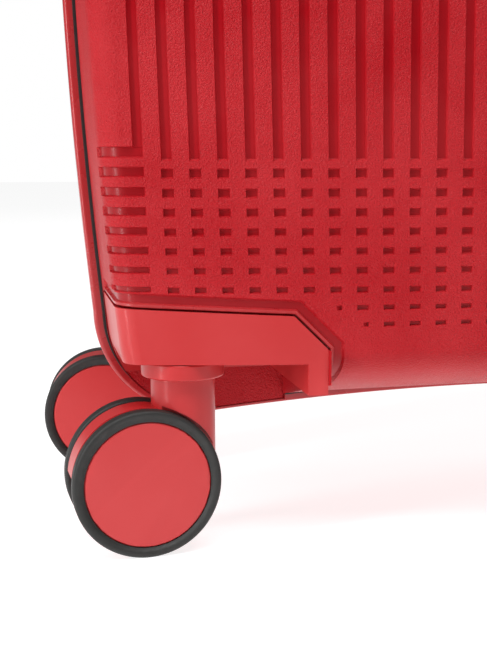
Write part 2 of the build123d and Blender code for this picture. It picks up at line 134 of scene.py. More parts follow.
# ---- materials ---------------------------------------------------------------
class Nodes:
    """A new node material with a few shortcuts."""

    def __init__(self, name):
        self.material = bpy.data.materials.new(name)
        self.material.use_nodes = True
        self.tree = self.material.node_tree
        self.bsdf = self.tree.nodes["Principled BSDF"]
        self.coord = self.add("ShaderNodeTexCoord")

    def add(self, kind, **values):
        node = self.tree.nodes.new(kind)
        for key, value in values.items():
            setattr(node, key, value)
        return node

    def link(self, a, b):
        self.tree.links.new(a, b)

    def noise(self, scale, detail=4.0, rough=0.55):
        node = self.add("ShaderNodeTexNoise")
        node.inputs["Scale"].default_value = scale
        node.inputs["Detail"].default_value = detail
        node.inputs["Roughness"].default_value = rough
        self.link(self.coord.outputs["Object"], node.inputs["Vector"])
        return node.outputs["Fac"]

    def voronoi(self, scale):
        node = self.add("ShaderNodeTexVoronoi")
        node.inputs["Scale"].default_value = scale
        self.link(self.coord.outputs["Object"], node.inputs["Vector"])
        return node.outputs["Distance"]

    def ramp(self, fac, low, high, a, b):
        node = self.add("ShaderNodeMapRange")
        node.inputs["From Min"].default_value = low
        node.inputs["From Max"].default_value = high
        node.inputs["To Min"].default_value = a
        node.inputs["To Max"].default_value = b
        self.link(fac, node.inputs["Value"])
        return node.outputs["Result"]

    def mix(self, fac, a, b):
        node = self.add("ShaderNodeMix", data_type="RGBA")
        if isinstance(fac, float):
            node.inputs["Factor"].default_value = fac
        else:
            self.link(fac, node.inputs["Factor"])
        for socket, value in (("A", a), ("B", b)):
            target = [i for i in node.inputs if i.name == socket and i.type == "RGBA"][0]
            if isinstance(value, tuple):
                target.default_value = value + (1.0,)
            else:
                self.link(value, target)
        return [o for o in node.outputs if o.type == "RGBA"][0]

    def bump(self, height, strength, distance, normal=None):
        node = self.add("ShaderNodeBump")
        node.inputs["Strength"].default_value = strength
        node.inputs["Distance"].default_value = distance
        self.link(height, node.inputs["Height"])
        if normal is not None:
            self.link(normal, node.inputs["Normal"])
        return node.outputs["Normal"]

    def edge_highlight(self, low=0.53, high=0.6):
        """1 along convex edges, 0 elsewhere: the mask of the painted edge highlight."""
        geometry = self.add("ShaderNodeNewGeometry")
        return self.ramp(geometry.outputs["Pointiness"], low, high, 0.0, 1.0)


def plastic(name, colour, rough, grain=0.0, grain_scale=1400.0, spread=0.06, specular=0.5, edge_highlight=0.25):
    """Moulded plastic: slight colour drift, grain bump, uneven gloss and paler edges, which are a painted
    highlight.
    """
    n = Nodes(name)
    dark = tuple(c * (1 - spread) for c in colour)
    pale = tuple(min(1.0, c * (1 + spread) + 0.01) for c in colour)
    drift = n.ramp(n.noise(24.0), 0.35, 0.65, 0.0, 1.0)
    base = n.mix(drift, dark, pale)
    # Paler colour along convex edges: painted highlight.
    edge_colour = tuple(min(1.0, c * 1.3 + 0.03) for c in colour)
    edge = n.ramp(n.edge_highlight(), 0.0, 1.0, 0.0, edge_highlight)
    base = n.mix(edge, base, edge_colour)
    n.link(base, n.bsdf.inputs["Base Color"])
    patch = n.ramp(n.noise(60.0, 6.0), 0.3, 0.7, rough - 0.025, rough + 0.025)
    n.link(patch, n.bsdf.inputs["Roughness"])
    n.bsdf.inputs["Specular IOR Level"].default_value = specular
    if grain > 0:
        fine = n.noise(grain_scale, 2.0, 0.6)
        normal = n.bump(fine, grain, 0.0006)
        cell = n.voronoi(grain_scale * 0.7)
        normal = n.bump(cell, grain * 0.6, 0.0003, normal)
    else:
        fine = n.noise(420.0, 5.0, 0.6)
        normal = n.bump(fine, 0.05, 0.0003)
    n.link(normal, n.bsdf.inputs["Normal"])
    return n.material


def rubber(name, colour, rough=0.6):
    """Matt rubber with a little dust and paler edges, which are a painted highlight."""
    n = Nodes(name)
    dust = n.ramp(n.noise(140.0, 8.0, 0.7), 0.45, 0.75, 0.0, 0.4)
    pale = tuple(c * 1.8 + 0.004 for c in colour)
    base = n.mix(dust, colour, pale)
    # Paler colour along convex edges: painted highlight.
    edge = n.ramp(n.edge_highlight(), 0.0, 1.0, 0.0, 0.35)
    base = n.mix(edge, base, tuple(c * 2.2 + 0.01 for c in colour))
    n.link(base, n.bsdf.inputs["Base Color"])
    gloss = n.ramp(n.noise(300.0), 0.3, 0.7, rough - 0.1, rough + 0.08)
    n.link(gloss, n.bsdf.inputs["Roughness"])
    n.link(n.bump(n.noise(2600.0, 3.0), 0.18, 0.0002), n.bsdf.inputs["Normal"])
    return n.material


def metal(name, colour, rough, along=(1.0, 1.0, 0.02)):
    """Drawn metal: fine streaks along one direction."""
    n = Nodes(name)
    n.bsdf.inputs["Metallic"].default_value = 1.0
    mapping = n.add("ShaderNodeMapping")
    mapping.inputs["Scale"].default_value = along
    n.link(n.coord.outputs["Object"], mapping.inputs["Vector"])
    streak = n.add("ShaderNodeTexNoise")
    streak.inputs["Scale"].default_value = 3500.0
    streak.inputs["Detail"].default_value = 3.0
    n.link(mapping.outputs["Vector"], streak.inputs["Vector"])
    fac = streak.outputs["Fac"]
    base = n.mix(fac, tuple(c * 0.85 for c in colour), colour)
    n.link(base, n.bsdf.inputs["Base Color"])
    n.link(n.ramp(fac, 0.3, 0.7, rough - 0.08, rough + 0.1), n.bsdf.inputs["Roughness"])
    n.link(n.bump(fac, 0.08, 0.0002), n.bsdf.inputs["Normal"])
    return n.material


def woven(name, colour, scale=900.0):
    """Polyester lining: crossed threads with a soft sheen."""
    n = Nodes(name)
    waves = []
    for direction in ("X", "Z"):
        wave = n.add("ShaderNodeTexWave", wave_type="BANDS", bands_direction=direction)
        wave.inputs["Scale"].default_value = scale
        wave.inputs["Distortion"].default_value = 0.6
        wave.inputs["Detail"].default_value = 2.0
        n.link(n.coord.outputs["Object"], wave.inputs["Vector"])
        waves.append(wave.outputs["Fac"])
    cross = n.add("ShaderNodeMath", operation="MULTIPLY")
    n.link(waves[0], cross.inputs[0])
    n.link(waves[1], cross.inputs[1])
    weave = cross.outputs["Value"]
    fade = n.ramp(n.noise(30.0), 0.3, 0.7, 0.0, 0.5)
    base = n.mix(fade, colour, tuple(c * 1.3 for c in colour))
    base = n.mix(n.ramp(weave, 0.0, 1.0, 0.0, 0.5), base, tuple(c * 1.6 for c in colour))
    n.link(base, n.bsdf.inputs["Base Color"])
    n.bsdf.inputs["Roughness"].default_value = 0.8
    n.bsdf.inputs["Sheen Weight"].default_value = 0.4
    normal = n.bump(weave, 0.4, 0.0003)
    normal = n.bump(n.noise(18.0, 3.0), 0.5, 0.004, normal)
    n.link(normal, n.bsdf.inputs["Normal"])
    return n.material


MAT = {
    "rib": plastic(
        "rib_plastic", (0.45, 0.004, 0.010), 0.44, grain=0.8, grain_scale=1700.0, specular=0.22, edge_highlight=0.2
    ),
    # Darker than the rib plastic: painted shade in grooves, recesses, slits and round the housings; the
    # lower roughness is the smoother finish.
    "groove": plastic("groove_plastic_painted_shade", (0.36, 0.001, 0.006), 0.30, spread=0.03, specular=0.25, edge_highlight=0.1),
    "housing": plastic("housing_plastic", (0.52, 0.022, 0.024), 0.32, spread=0.015, specular=0.4),
    "trim": plastic("trim_plastic", (0.44, 0.012, 0.020), 0.36, grain=0.12, grain_scale=900.0),
    "hub": plastic("hub_plastic", (0.57, 0.034, 0.036), 0.38, spread=0.015, specular=0.4, edge_highlight=0.4),
    "rim": plastic("rim_plastic", (0.43, 0.016, 0.020), 0.28, spread=0.02, edge_highlight=0.3),
    "button": plastic("button_plastic", (0.02, 0.02, 0.022), 0.22, spread=0.2),
    "dial": plastic("dial_plastic", (0.025, 0.025, 0.028), 0.35, grain=0.2, spread=0.2),
    "tyre": rubber("tyre_rubber", (0.016, 0.016, 0.015)),
    # Near-black seal: a rubber strip whose very dark tone also paints the shade in the seam gap.
    "seal": rubber("seal_rubber_painted_shade", (0.004, 0.002, 0.002), 0.55),
    "steel": metal("steel_pin", (0.55, 0.55, 0.56), 0.3, (1.0, 0.05, 1.0)),
    "aluminium": metal("aluminium_tube", (0.72, 0.73, 0.75), 0.32),
    "lining": woven("lining_fabric", (0.035, 0.036, 0.042)),
    "strap": woven("strap_webbing", (0.016, 0.016, 0.018), 1400.0),
}


# ---- outline of the case -------------------------------------------------------
def half_width(z):
    """Half the body width at a height, for the barrel-shaped sides."""
    return HALF_W - (z - MID_Z) ** 2 / (2 * SIDE_R)


def arch(x, inset):
    """Height of the lower outline at a distance x from the middle."""
    return ARCH_Z + inset - (ARCH_Z - CORNER_Z) * (x / half_width(CORNER_Z)) ** 2


def corner_centre(inset):
    """Centre and radius of the round lower corner of the outline."""
    r = CORNER_R - inset
    z = arch(135.0, inset) + r
    return half_width(z) - inset - r, z, r


def edge_distance(x, z, inset):
    """How far a point lies inside the outline."""
    x = np.abs(x)
    z = np.where(z > MID_Z, 2 * MID_Z - z, z)
    cx, cz, r = corner_centre(inset)
    plain = np.minimum(half_width(z) - inset - x, z - arch(x, inset))
    round_part = r - np.hypot(x - cx, cz - z)
    return np.where((x > cx) & (z < cz), round_part, plain)


def place(x0, z0, inset):
    """Grid point to its place in front view: barrel sides, arched ends, round corners."""
    flip = z0 > MID_Z
    z0 = np.where(flip, 2 * MID_Z - z0, z0)
    side = np.sign(x0)
    ref = HALF_W - inset
    lean = SPREAD - LEAN * (z0 - MID_Z) ** 2
    t = np.clip((np.abs(x0) - CORNER_FROM) / (ref - CORNER_FROM), 0, 1)
    toward_side = CORNER_FROM * lean * (1 - t) + (half_width(z0) - inset) * t
    x = np.where(np.abs(x0) > CORNER_FROM, toward_side, np.abs(x0) * lean)
    low = 95.0
    s = np.clip((low - z0) / (low - 40.0), 0, 1)
    z = np.where(z0 < low, low - s * (low - arch(x, inset)), z0)
    cx, cz, r = corner_centre(inset)
    u = np.clip((x - cx) / (half_width(z) - inset - cx), 0, 1)
    v = np.clip((cz - z) / (cz - arch(x, inset)), 0, 1)
    inside = (x > cx) & (z < cz)
    x = np.where(inside, cx + r * u * np.sqrt(1 - v * v / 2), x)
    z = np.where(inside, cz - r * v * np.sqrt(1 - u * u / 2), z)
    return side * x, np.where(flip, 2 * MID_Z - z, z)


def face_depth(x, z, end, inset):
    """Distance from the seam plane to the outer face: dome, underside and top slopes."""
    dome = DEPTH[end] - (DEPTH[end] - EDGE_DEPTH[end]) * (x / (HALF_W - 12.0)) ** 2
    zz = np.where(z > MID_Z, 2 * MID_Z - z, z)
    slope = (zz - (ARCH_Z - 5.1 + inset)) / UNDER_SLOPE
    h = np.clip(0.5 + 0.5 * (slope - dome) / UNDER_BLEND, 0, 1)
    return np.maximum(slope * (1 - h) + dome * h - UNDER_BLEND * h * (1 - h), 0.0)


def cap_depth(x, z, end, inset):
    """Depth of the undetailed outer skin, with its rounded long edges."""
    depth = face_depth(x, z, end, inset)
    dist = np.maximum(edge_distance(x, z, inset), 0.0)
    r = np.minimum(EDGE_R, depth * 0.4 + 0.5)
    t = np.clip(dist / r, 0, 1)
    return depth - r * (1 - np.sqrt(1 - (1 - t) ** 2))


def housing_top(x):
    """Upper edge of a caster housing."""
    slope = HOUSING_DROP / (HOUSING_FAR - 114.6)
    return HOUSING_TOP - slope * (HOUSING_FAR - x)


def housing_lines(end):
    """Point and outward normal of the three lines of a housing's outline, for +x."""
    inner = AXIS_X[end] - HOUSING_SPAN
    corner = inner + HOUSING_CHAMFER
    slope = HOUSING_DROP / (HOUSING_FAR - corner)
    length = math.hypot(1, slope)
    start = (corner, HOUSING_TOP - HOUSING_DROP)
    top = (-slope / length, 1 / length)
    diagonal = (-math.sqrt(0.5), math.sqrt(0.5))
    return [(start, top), (start, diagonal), ((inner, 0.0), (-1.0, 0.0))]


def housing_distance(x, z, end):
    """Signed distance in front view from the caster housing, positive outside."""
    x = np.abs(x)
    parts = [(x - p[0]) * n[0] + (z - p[1]) * n[1] for p, n in housing_lines(end)]
    return np.maximum(np.maximum(parts[0], parts[1]), parts[2])


# ---- surface detail as a depth below the plain face ---------------------------------
def bar(t, half, edge=0.28):
    """1 inside a strip of the given half width, with sloped edges."""
    return np.clip((half - np.abs(t)) / edge, 0, 1)


def row_high(row):
    """Half height of the recesses, smaller toward the bottom."""
    return 1.75 - 0.09 * row


def slit_high(row):
    """Half height of the corner slits."""
    return 1.85 - 0.11 * row


def slit_z(row):
    """Height of the middle of a corner slit, a little above its recess row."""
    return ROW_Z - row * ROW_PITCH + 0.6 - 0.05 * row


def rib_detail(x0, z0):
    """Grooves, recess rows and corner slits. Returns depth and a groove mask."""
    zz = np.where(z0 > MID_Z, 2 * MID_Z - z0, z0)
    ax = np.abs(x0)
    k = np.round(ax / PITCH - 0.5)
    live = k < COLUMNS / 2
    across = bar(ax - (k + 0.5) * PITCH, GROOVE_HALF) * live
    depth = across * np.clip((zz - GROOVE_Z) / 0.9, 0, 1) * GROOVE_D
    extra = bar(ax - EXTRA_X, EXTRA_HALF) * np.clip((zz - EXTRA_Z) / 1.2, 0, 1)
    depth = np.maximum(depth, extra * GROOVE_D)
    row = np.round((ROW_Z - zz) / ROW_PITCH)
    limit = np.where(row <= 6, 99, np.where(row == 7, 10.4, np.where(row == 8, 9.4, -1)))
    ok = (row >= 0) & (ax / PITCH < limit) & live
    recess_across = bar(ax - (k + 0.5) * PITCH, RECESS_HALF, 0.18)
    recess = recess_across * bar(zz - (ROW_Z - row * ROW_PITCH), row_high(row), 0.45) * ok
    depth = np.maximum(depth, recess * RECESS_D)
    row = np.round((ROW_Z + 0.4 - zz) / ROW_PITCH)
    ok = (row >= -1) & (row <= 6)
    slit = bar(zz - slit_z(row), slit_high(row), 0.4) * ok
    slit = slit * np.clip((ax - SLIT_IN) / 0.5, 0, 1)
    depth = np.maximum(depth, slit * SLIT_D)
    return depth, depth > 0.6


def grid_columns():
    """Grid lines across the face, doubled at every groove and recess edge."""
    ref = HALF_W - INSET
    xs = [0.0]
    for k in range(COLUMNS // 2):
        c = (k + 0.5) * PITCH
        for off in (RECESS_HALF + 0.02, GROOVE_HALF + 0.02, GROOVE_HALF - 0.28):
            xs += [c - off, c + off]
        xs += [c, (k + 1) * PITCH]
    for off in (EXTRA_HALF + 0.02, EXTRA_HALF - 0.28):
        xs += [EXTRA_X - off, EXTRA_X + off]
    xs += [SLIT_IN, SLIT_IN + 0.5] + list(np.linspace(173.0, ref, 22))
    xs = np.unique(np.round(np.array(xs), 2))
    xs = xs[np.concatenate([[True], np.diff(xs) > 0.12])]
    return np.concatenate([-xs[::-1], xs[1:]])


def grid_rows():
    """Grid lines up the face, doubled at every recess and slit edge."""
    zs = list(40.0 + 5.0 * (np.linspace(0, 1, 9)) ** 1.5) + list(np.arange(46.5, 94.0, 1.8))
    for row in range(-1, 9):
        z = ROW_Z - row * ROW_PITCH
        for off in (row_high(row) + 0.02, row_high(row) - 0.47):
            zs += [z - off, z + off]
        for off in (slit_high(row) + 0.02, slit_high(row) - 0.42):
            zs += [slit_z(row) - off, slit_z(row) + off]
        zs += [z, z - ROW_PITCH / 2]
    zs += [GROOVE_Z, GROOVE_Z + 0.9, EXTRA_Z, EXTRA_Z + 1.2] + list(np.arange(152.0, MID_Z, 10.0))
    zs = np.unique(np.round(np.array(zs), 2))
    zs = zs[np.concatenate([[True], np.diff(zs) > 0.12])]
    return np.concatenate([zs, (2 * MID_Z - zs[::-1])])


def loop_normals(base, inset):
    """Outward directions in front view round the outline."""
    cx, cz, _ = corner_centre(inset)
    ex = np.maximum(np.abs(base[:, 0]) - cx, 0)
    ez = np.maximum(cz - (MID_Z - np.abs(base[:, 2] - MID_Z)), 0)
    length = np.maximum(np.hypot(ex, ez), 1e-6)
    nx = np.where(ez == 0, 1.0, ex / length)
    nz = np.where(ez == 0, 0.0, ez / length)
    return np.sign(base[:, 0]) * nx, np.where(base[:, 2] < MID_Z, -1.0, 1.0) * nz


def seam_profile(end):
    """(distance inward from the side, distance from the seam plane) of the shell's edge."""
    if end < 0:
        edge = [(0.0, SEAM_GAP + 0.4), (0.15, SEAM_GAP + 0.1), (0.5, SEAM_GAP)]
        return edge + [(WALL, SEAM_GAP), (WALL, 12.0)]
    steps = [(0.0, RIM_T + 0.3), (-0.25, RIM_T)]
    for back in (True, False):
        for k in range(5):
            a = math.radians(90 * k / 4)
            out = RIM_R * (1 - (math.sin(a) if back else math.cos(a)))
            away = RIM_R * (1 - (math.cos(a) if back else math.sin(a)))
            steps.append((out - INSET, RIM_T - away if back else away))
    seat = SEAT - INSET
    return steps + [(seat - 0.3, 0.0), (seat, 0.3), (seat, RIM_T), (WALL, RIM_T + 0.5), (WALL, 16.0)]


def grid_faces(shape):
    """Four-sided faces of a grid of points."""
    index = np.arange(shape[0] * shape[1]).reshape(shape)
    quads = [index[:-1, :-1], index[:-1, 1:], index[1:, 1:], index[1:, :-1]]
    return np.stack(quads, -1).reshape(-1, 4).tolist()


def grid_loop(shape):
    """Numbers of the points round the edge of a grid, in order."""
    index = np.arange(shape[0] * shape[1]).reshape(shape)
    return np.concatenate([index[0, :], index[1:, -1], index[-1, -2::-1], index[-2:0:-1, 0]])


def bridge(lower, upper):
    """Faces between two closed rings of points."""
    return np.stack([lower, upper, np.roll(upper, -1), np.roll(lower, -1)], -1).tolist()


def inset_ring(base, normals, inward, y):
    """Copy of a closed ring, moved inward in front view and set to a depth."""
    ring = base.copy()
    ring[:, 0] -= normals[0] * inward
    ring[:, 2] -= normals[1] * inward
    ring[:, 1] = y
    return ring


def seal_ring(name):
    """Black rubber strip pressed round the rim where the lid closes on it; its near-black tone is also
    painted shade of the seam gap.
    """
    gx, gz = np.meshgrid(grid_columns(), grid_rows())
    x, z = place(gx, gz, INSET)
    loop = grid_loop(gx.shape)
    base = np.stack([x.ravel()[loop], 0 * loop, z.ravel()[loop]], -1)
    normals = loop_normals(base, INSET)
    outer, inner = -1.2, 4.2
    front = -SEAL_PROUD
    profile = [(outer, 0.0), (outer, front + 0.5), (outer + 0.15, front + 0.1), (outer + 0.5, front)]
    profile += [(inner, front), (inner, 0.0)]
    points = [inset_ring(base, normals, inward, y) for inward, y in profile]
    count = len(loop)
    faces = []
    for k in range(len(profile)):
        following = (k + 1) % len(profile)
        faces += bridge(k * count + np.arange(count), following * count + np.arange(count))
    piece = make_object(name, np.concatenate(points) * MM, faces, [MAT["seal"]])
    bm = bmesh.new()
    bm.from_mesh(piece.data)
    bmesh.ops.recalc_face_normals(bm, faces=bm.faces[:])
    bm.to_mesh(piece.data)
    bm.free()
    shade_smooth(piece, 40)
    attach(piece, "rear_case")
    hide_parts("rim_seal")


SKIRT_STEPS = (0.5, 1.2, 2.0, 3.0, 4.0, 5.0, 5.6, 7.0, 10, 16, 24, 34, 44, 54)


def skirt_rings(high, end):
    """(inward, distance from the seam plane, carries slits) of each ring below the face."""
    profile = seam_profile(end)
    low = profile[0][1]
    rings = []
    for k, step in enumerate(SKIRT_STEPS):
        keep = 0.02 * (len(SKIRT_STEPS) - k)
        rings.append((0.0, np.maximum(high - step, low + keep), step <= SLIT_REACH))
    for inward, away in profile:
        rings.append((inward, np.full(len(high), away), False))
    return rings


def shell_points(end):
    """Points and faces of a shell before detail, the grid place of each point,
    and 1 where it may carry detail."""
    gx, gz = np.meshgrid(grid_columns(), grid_rows())
    x, z = place(gx, gz, INSET)
    cap = np.stack([x, end * cap_depth(x, z, end, INSET), z], -1).reshape(-1, 3)
    faces = grid_faces(gx.shape)
    loop = grid_loop(gx.shape)
    base = cap[loop]
    normals = loop_normals(base, INSET)
    loop_x = gx.ravel()[loop]
    loop_z = gz.ravel()[loop]
    at_side = np.where(np.abs(loop_x) > SLIT_IN, 1.0, 0.0)
    points = [cap]
    places = [np.stack([gx.ravel(), gz.ravel()], -1)]
    live = [np.ones(len(cap))]
    previous = loop
    count = len(cap)
    for inward, away, slits in skirt_rings(np.abs(base[:, 1]), end):
        points.append(inset_ring(base, normals, inward, end * away))
        places.append(np.stack([loop_x, loop_z], -1))
        live.append(at_side if slits else 0.0 * at_side)
        current = count + np.arange(len(loop))
        faces += bridge(previous, current)
        previous = current
        count += len(loop)
    edge_from = len(cap) + len(SKIRT_STEPS) * len(loop)
    return np.concatenate(points), faces, np.concatenate(places), np.concatenate(live), edge_from


def finger_pocket(points):
    """Lifts the lid's lower edge over a shallow finger pocket in the middle."""
    lift = 54.5 - 9.0 * np.clip((np.abs(points[:, 0]) - 21.0) / 10.0, 0, 1)
    pocket = (np.abs(points[:, 0]) < 31.5) & (points[:, 1] > -40.0) & (points[:, 2] < 60)
    points[:, 2] = np.where(pocket, np.maximum(points[:, 2], lift), points[:, 2])


def face_kinds(piece, groove, edge_from):
    """Gives grooves the darker groove plastic, painted shade in the hollows, and, on the rear half, the
    rim its own material.
    """
    corner = np.zeros(len(piece.data.polygons) * 4, int)
    piece.data.polygons.foreach_get("vertices", corner)
    corner = corner.reshape(-1, 4)
    # Faces deep in grooves, recesses and slits take the darker plastic: painted shade.
    kind = np.where(groove[corner].sum(1) >= 3, GROOVE_SLOT, 0)
    if edge_from is not None:
        kind[corner.max(1) >= edge_from] = RIM_SLOT
    piece.data.polygons.foreach_set("material_index", kind)
    piece.data.update()


def build_shell(end, name):
    """One moulded half: ribbed face, sides, rounded edges and the edge at the seam."""
    points, faces, places, live, edge_from = shell_points(end)
    if end > 0:
        faces = [f[::-1] for f in faces]
    piece = make_object(name, points * MM, faces, [MAT["rib"], MAT["groove"], MAT["rim"]])
    normals = np.array([v.vector[:] for v in piece.data.vertex_normals])
    face_count = len(grid_columns()) * len(grid_rows())
    if (normals[:face_count, 1] * end).mean() < 0:
        piece.data.flip_normals()
        normals = -normals
    detail, groove = rib_detail(places[:, 0], places[:, 1])
    moved = points - normals * (detail * live)[:, None]
    if end < 0:
        finger_pocket(moved)
    piece.data.vertices.foreach_set("co", (moved * MM).ravel())
    face_kinds(piece, groove & (live > 0), edge_from if end > 0 else None)
    return piece


def split(bm, chosen, point, normal):
    """Adds an exact edge line where a plane crosses the chosen faces."""
    faces = [f for f in bm.faces if chosen(f)]
    geom = set(faces)
    for f in faces:
        geom.update(f.edges)
        geom.update(f.verts)
    bmesh.ops.bisect_plane(bm, geom=list(geom), plane_co=point, plane_no=normal, dist=1e-8)


def surround_depth(d):
    """Depth of the moulded lip and channel at a distance from the housing."""
    return np.interp(d, [p[0] for p in SURROUND], [p[1] for p in SURROUND])


def near_housing(face, side, end):
    """True for faces close enough to a housing to carry its surround."""
    c = face.calc_center_median() / MM
    if c.x * side < 0 or c.z > 110 or c.y * end < 4.0:
        return False
    return -1.0 < float(housing_distance(c.x, c.z, end)) < SURROUND[-1][0] + 2.5


def near_well_back(face, side, end):
    """True for faces along the underside where the back of a well is cut."""
    c = face.calc_center_median() / MM
    return c.x * side > 90 and c.z < 104 and 4.0 < c.y * end < 26.0


def add_edge_lines(bm, side, end, well_y):
    """Adds exact edges where the surround changes depth."""
    def near(face):
        return near_housing(face, side, end)

    def back(face):
        return near_well_back(face, side, end)

    for distance, _ in SURROUND:
        for point, normal in housing_lines(end):
            x = (point[0] + normal[0] * distance) * side * MM
            z = (point[1] + normal[1] * distance) * MM
            split(bm, near, (x, 0, z), (normal[0] * side, 0, normal[1]))
    for distance, _ in SURROUND[:6]:
        split(bm, back, (0, end * (well_y - distance) * MM, 0), (0, 1, 0))
    split(bm, back, (0, end * (well_y + WELL_FLOOR_BAND) * MM, 0), (0, 1, 0))


def open_well(bm, end, well_y):
    """Removes the faces that lie over a wheel well."""
    gone = []
    for f in bm.faces:
        c = f.calc_center_median() / MM
        if c.z < 100 and c.y * end > well_y and float(housing_distance(c.x, c.z, end)) < 0:
            gone.append(f)
    bmesh.ops.delete(bm, geom=gone, context="FACES")


def press_surround(bm, end, well_y):
    """Pushes the lip and channel into the surface."""
    bm.normal_update()
    co = np.array([v.co[:] for v in bm.verts]) / MM
    normal = np.array([v.normal[:] for v in bm.verts])
    d = housing_distance(co[:, 0], co[:, 2], end)
    away = well_y - co[:, 1] * end
    ready = (co[:, 2] < 110) & (co[:, 1] * end > 4.0)
    on_face = away < 0.1 - WELL_FLOOR_BAND
    front = np.where(on_face, surround_depth(np.maximum(d, 0.0)), 0.0)
    lip = np.interp(np.maximum(np.maximum(d, away), 0.0), (0.0, 0.5, 0.65, 2.3), (3.0, 3.0, 0.0, 0.0))
    lip = np.where(~on_face & (d < 1.0) & (np.abs(co[:, 0]) > 100), lip, 0.0)
    depth = np.where(ready, np.maximum(front, lip), 0.0)
    co -= normal * depth[:, None]
    for v, p in zip(bm.verts, co * MM):
        v.co = p


def add_surround(piece, end):
    """Cuts the two lower wheel wells and moulds the lip and channel round each housing."""
    well_y = AXIS_Y[end] - HOUSING_DEPTH
    bm = bmesh.new()
    bm.from_mesh(piece.data)
    for side in (-1, 1):
        add_edge_lines(bm, side, end, well_y)
    open_well(bm, end, well_y)
    press_surround(bm, end, well_y)
    for f in bm.faces:
        c = f.calc_center_median() / MM
        if c.z > 110 or c.y * end < well_y + WELL_FLOOR_BAND:
            continue
        dist = float(housing_distance(c.x, c.z, end))
        # Gap and channel round the housing take the darker plastic as painted shade; the lip takes the rim
        # plastic.
        if 2.3 < dist < 5.1 or 0 < dist < 0.6:
            f.material_index = GROOVE_SLOT
        elif 0.6 < dist < 2.3:
            f.material_index = RIM_SLOT
    bm.to_mesh(piece.data)
    bm.free()


def add_strip(verts, faces, lower, upper):
    """Adds a band of faces between two rows of points."""
    start = len(verts)
    for a, b in zip(lower, upper):
        verts.extend((a, b))
    for k in range(len(lower) - 1):
        a = start + 2 * k
        faces.append((a, a + 2, a + 3, a + 1))


def well_outline(end):
    """Upper outline of a wheel well in front view, from the inner side outward."""
    inner = AXIS_X[end] - HOUSING_SPAN
    corner = inner + HOUSING_CHAMFER
    low = HOUSING_TOP - HOUSING_DROP
    outline = [(inner, low - HOUSING_CHAMFER), (corner, low)]
    across = np.linspace(corner + 1, half_width(93) - INSET, 24)
    return outline + [(x, housing_top(x)) for x in across]


def well_side(end, well_y, top):
    """(depth, height) along the lower edge of the well's inner wall."""
    inner = AXIS_X[end] - HOUSING_SPAN
    edge = []
    for y in np.linspace(well_y, 84.0, 30):
        z = max(ARCH_Z - 5.1 + INSET + UNDER_SLOPE * y, arch(inner, INSET))
        if z < top:
            edge.append((y, z))
    return edge


def well_walls(end, name):
    """Inner walls of the lower wheel wells."""
    inner = AXIS_X[end] - HOUSING_SPAN
    corner = inner + HOUSING_CHAMFER
    well_y = AXIS_Y[end] - HOUSING_DEPTH
    outline = well_outline(end)
    top = outline[0][1]
    cx, cz, r = corner_centre(INSET)
    verts = []
    faces = []
    for side in (-1, 1):
        front = []
        for x, z in outline:
            y = float(cap_depth(np.array(x), np.array(z), end, INSET))
            front.append((side * x, end * (y - 1.0), z))
        add_strip(verts, faces, front, [(p[0], end * well_y, p[2]) for p in front])
        edge = well_side(end, well_y, top)
        lower = [(side * inner, end * y, z) for y, z in edge]
        upper = [(side * inner, end * y, top) for y, z in edge]
        add_strip(verts, faces, lower, upper)
        lower = []
        upper = []
        for x in np.concatenate([np.linspace(inner, cx, 8), cx + r * np.sin(np.linspace(0.05, 1.53, 16))]):
            z = arch(x, INSET) if x <= cx else cz - math.sqrt(max(r * r - (x - cx) ** 2, 0.0))
            lower.append((side * x, end * well_y, z))
            z = housing_top(x) if x > corner else top + (x - inner)
            upper.append((side * x, end * well_y, z))
        add_strip(verts, faces, lower, upper)
    return make_object(name, np.array(verts) * MM, faces, [MAT["rib"], MAT["groove"]])


def cut_box(piece, planes, inside):
    """Cuts the mesh along planes and removes the faces whose middle is inside."""
    bm = bmesh.new()
    bm.from_mesh(piece.data)
    for point, normal in planes:
        geom = bm.verts[:] + bm.edges[:] + bm.faces[:]
        bmesh.ops.bisect_plane(bm, geom=geom, plane_co=point, plane_no=normal, dist=1e-7)
    gone = [f for f in bm.faces if inside(f.calc_center_median() / MM)]
    bmesh.ops.delete(bm, geom=gone, context="FACES")
    bm.to_mesh(piece.data)
    bm.free()


def join(target, *others):
    """Joins the other pieces into the first."""
    bpy.ops.object.select_all(action="DESELECT")
    for o in (target,) + others:
        o.select_set(True)
    bpy.context.view_layer.objects.active = target
    bpy.ops.object.join()
    return target


def shells():
    """Both finished halves, with the openings for the handle bezel and the dials."""
    lid = build_shell(-1, "lid_skin")
    add_surround(lid, -1)
    join(lid, well_walls(-1, "lid_wells"))
    rear = build_shell(1, "rear_skin")
    add_surround(rear, 1)
    half, y0, y1 = TROLLEY
    planes = [((s * half * MM, 0, 0), (1, 0, 0)) for s in (-1, 1)]
    planes += [((0, y * MM, 0), (0, 1, 0)) for y in (y0, y1)]
    cut_box(rear, planes, lambda c: abs(c.x) < half and y0 < c.y < y1 and c.z > 450)
    join(rear, well_walls(1, "rear_wells"))
    y0, y1, z0, z1 = DIAL_WINDOW
    planes = [((0, y * MM, 0), (0, 1, 0)) for y in (y0, y1)]
    planes += [((0, 0, z * MM), (0, 0, 1)) for z in (z0, z1)]
    cut_box(lid, planes, lambda c: c.x < -170 and y0 < c.y < y1 and z0 < c.z < z1)
    for piece, body, node in ((lid, "lid", "front_shell"), (rear, "rear_case", "rear_shell")):
        shade_smooth(piece, 34)
        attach(piece, body)
        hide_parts(node)


shells()
seal_ring("rim_seal_strip")


